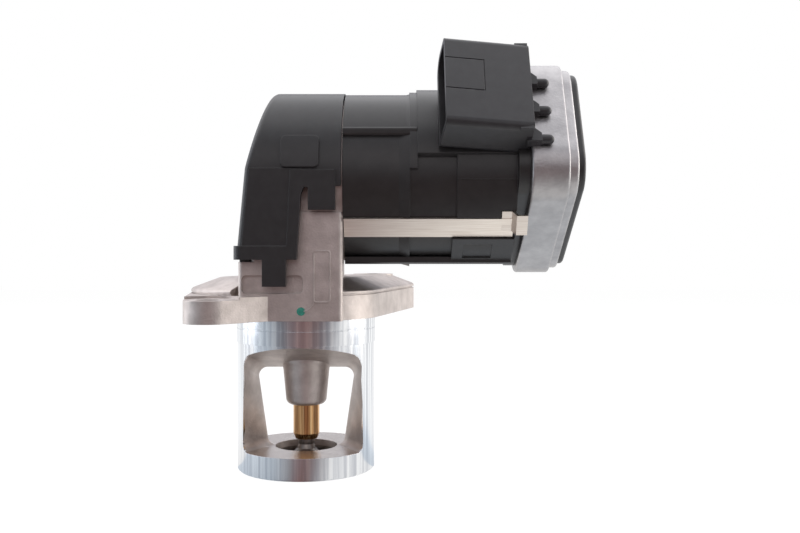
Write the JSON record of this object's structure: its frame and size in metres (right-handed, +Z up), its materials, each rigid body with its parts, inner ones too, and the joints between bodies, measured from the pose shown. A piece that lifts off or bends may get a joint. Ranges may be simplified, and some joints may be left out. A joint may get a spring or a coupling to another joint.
{
  "type": "egr valve",
  "caption": "Electric exhaust gas recirculation valve: caged poppet in a flanged cast housing, driven by a side-mounted motor through a crank and roller, with an angled socket.",
  "frame": {"origin": "on the valve stem axis, in the plane of the mounting flange's underside", "axes": "+Z up along the stem away from the spigot, +X along the motor towards its end cap, +Y away from the connector side"},
  "size_m": [0.1407, 0.1126, 0.1522],
  "materials": {
    "cast_aluminium": "matte cast skin, machined spigot",
    "cap_aluminium": "matte cast skin",
    "valve_steel": "turned",
    "bronze": "turned",
    "dark_rubber": "matte",
    "spring_steel": "drawn",
    "black_plastic": "satin moulded",
    "connector_plastic": "satin moulded",
    "lid_plastic": "satin moulded",
    "pin_metal": "plated",
    "can_steel": "turned",
    "magnet_ferrite": "sintered",
    "carbon": "pressed carbon",
    "strap_steel": "bright strip",
    "board_green": "solder resist",
    "copper": "enamelled copper"
  },
  "bodies": {
    "housing": {"valve_housing": "cast_aluminium", "seat_ring": "valve_steel", "stem_guide": "bronze", "stem_seal": "dark_rubber", "spring_seat": "spring_steel", "return_spring": "spring_steel", "drive_cover": "black_plastic", "cover_gasket": "dark_rubber", "motor_housing": "black_plastic", "connector_shell": "connector_plastic", "connector_pins": "pin_metal", "motor_can": "can_steel", "stator_magnets": "magnet_ferrite", "brush_holder": "black_plastic", "carbon_brushes": "carbon", "holder_screws": "spring_steel", "front_bush": "bronze", "rear_bush": "bronze", "retaining_strap_front": "strap_steel", "retaining_strap_rear": "strap_steel", "end_cap": "cap_aluminium", "end_lid": "lid_plastic", "lid_seal": "dark_rubber", "sensor_board": "board_green"},
    "rotor": {"motor_shaft": "can_steel", "crank": "can_steel", "roller_clip": "spring_steel", "armature_core": "can_steel", "armature_windings": "copper", "commutator": "copper", "sensor_magnet": "magnet_ferrite"},
    "roller": {"drive_roller": "can_steel"},
    "valve": {"poppet_valve": "valve_steel", "stem_yoke": "can_steel", "spring_retainer": "spring_steel", "stem_collets": "spring_steel"}
  },
  "joints": [
    {"name": "shaft_turn", "type": "hinge", "parent": "housing", "child": "rotor", "pos_m": [0.004, 0, 0.05], "axis": [1, 0, 0], "range_deg": [0, 90]},
    {"name": "roller_spin", "type": "hinge", "parent": "rotor", "child": "roller", "pos_m": [0, -0.00283, 0.05283], "axis": [1, 0, 0], "continuous": true},
    {"name": "valve_lift", "type": "slide", "parent": "housing", "child": "valve", "axis": [0, 0, -1], "range_m": [0, 0.00566], "stiffness_N_per_m": 1500, "springref_m": -0.012, "deforming": ["return_spring"]}
  ],
  "couplings": [
    {"joint": "shaft_turn", "follows": "valve_lift", "rad_per_m": 277.68}
  ]
}
